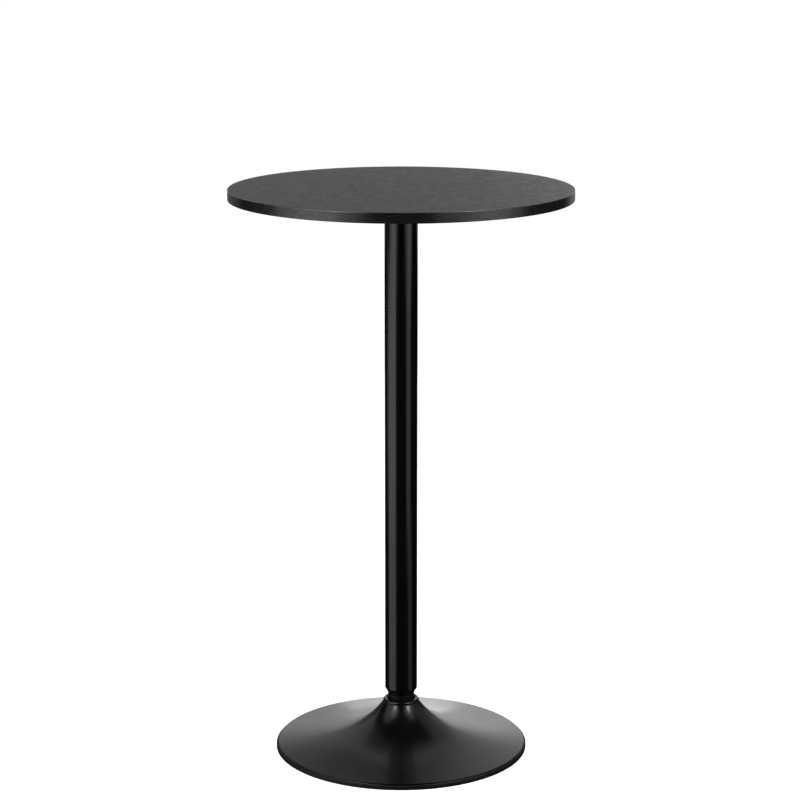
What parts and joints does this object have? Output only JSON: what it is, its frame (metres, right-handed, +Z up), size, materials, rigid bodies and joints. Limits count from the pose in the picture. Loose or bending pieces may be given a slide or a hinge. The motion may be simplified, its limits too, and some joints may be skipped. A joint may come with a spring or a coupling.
{
  "type": "round pedestal table",
  "caption": "Tall bar table with a round laminated top, one straight steel column and a trumpet-shaped round base with a rubber rim.",
  "frame": {"origin": "centre of the base's footprint, on the floor", "axes": "+Z up along the column, +X to the right and +Y to the back as the table stands in front of the viewer"},
  "size_m": [0.6, 0.6, 1.016],
  "materials": {
    "black_laminate": "black high-pressure laminate with a fine wood-grain texture, satin",
    "black_backing": "plain black backing laminate, matt",
    "particle_board": "raw particle board",
    "black_edge_band": "black edge band, satin",
    "black_powder_coat": "black powder coat, satin",
    "bare_steel": "bare steel",
    "zinc_plate": "zinc plated steel",
    "brass": "plain brass",
    "black_plastic": "black moulded plastic, matt",
    "black_rubber": "black rubber, matt"
  },
  "bodies": {
    "root": {"backing_laminate": "black_backing", "base_shell": "black_powder_coat", "centre_bolt": "zinc_plate", "centre_lock_washer": "zinc_plate", "clamp_washer": "zinc_plate", "column_end_plug": "bare_steel", "column_screw_1": "zinc_plate", "column_screw_2": "zinc_plate", "column_tube": "black_powder_coat", "edge_band": "black_edge_band", "floor_ring": "black_rubber", "mounting_plate": "black_powder_coat", "plate_bolt_1": "zinc_plate", "plate_bolt_2": "zinc_plate", "plate_bolt_3": "zinc_plate", "plate_bolt_4": "zinc_plate", "plate_lock_washer_1": "zinc_plate", "plate_lock_washer_2": "zinc_plate", "plate_lock_washer_3": "zinc_plate", "plate_lock_washer_4": "zinc_plate", "plate_spigot": "bare_steel", "plate_washer_1": "zinc_plate", "plate_washer_2": "zinc_plate", "plate_washer_3": "zinc_plate", "plate_washer_4": "zinc_plate", "socket_sleeve": "bare_steel", "stiffening_plate": "bare_steel", "tabletop_core": "particle_board", "threaded_insert_1": "brass", "threaded_insert_2": "brass", "threaded_insert_3": "brass", "threaded_insert_4": "brass", "throat_bush": "black_plastic", "top_laminate": "black_laminate", "weld_nut": "bare_steel"}
  },
  "joints": []
}
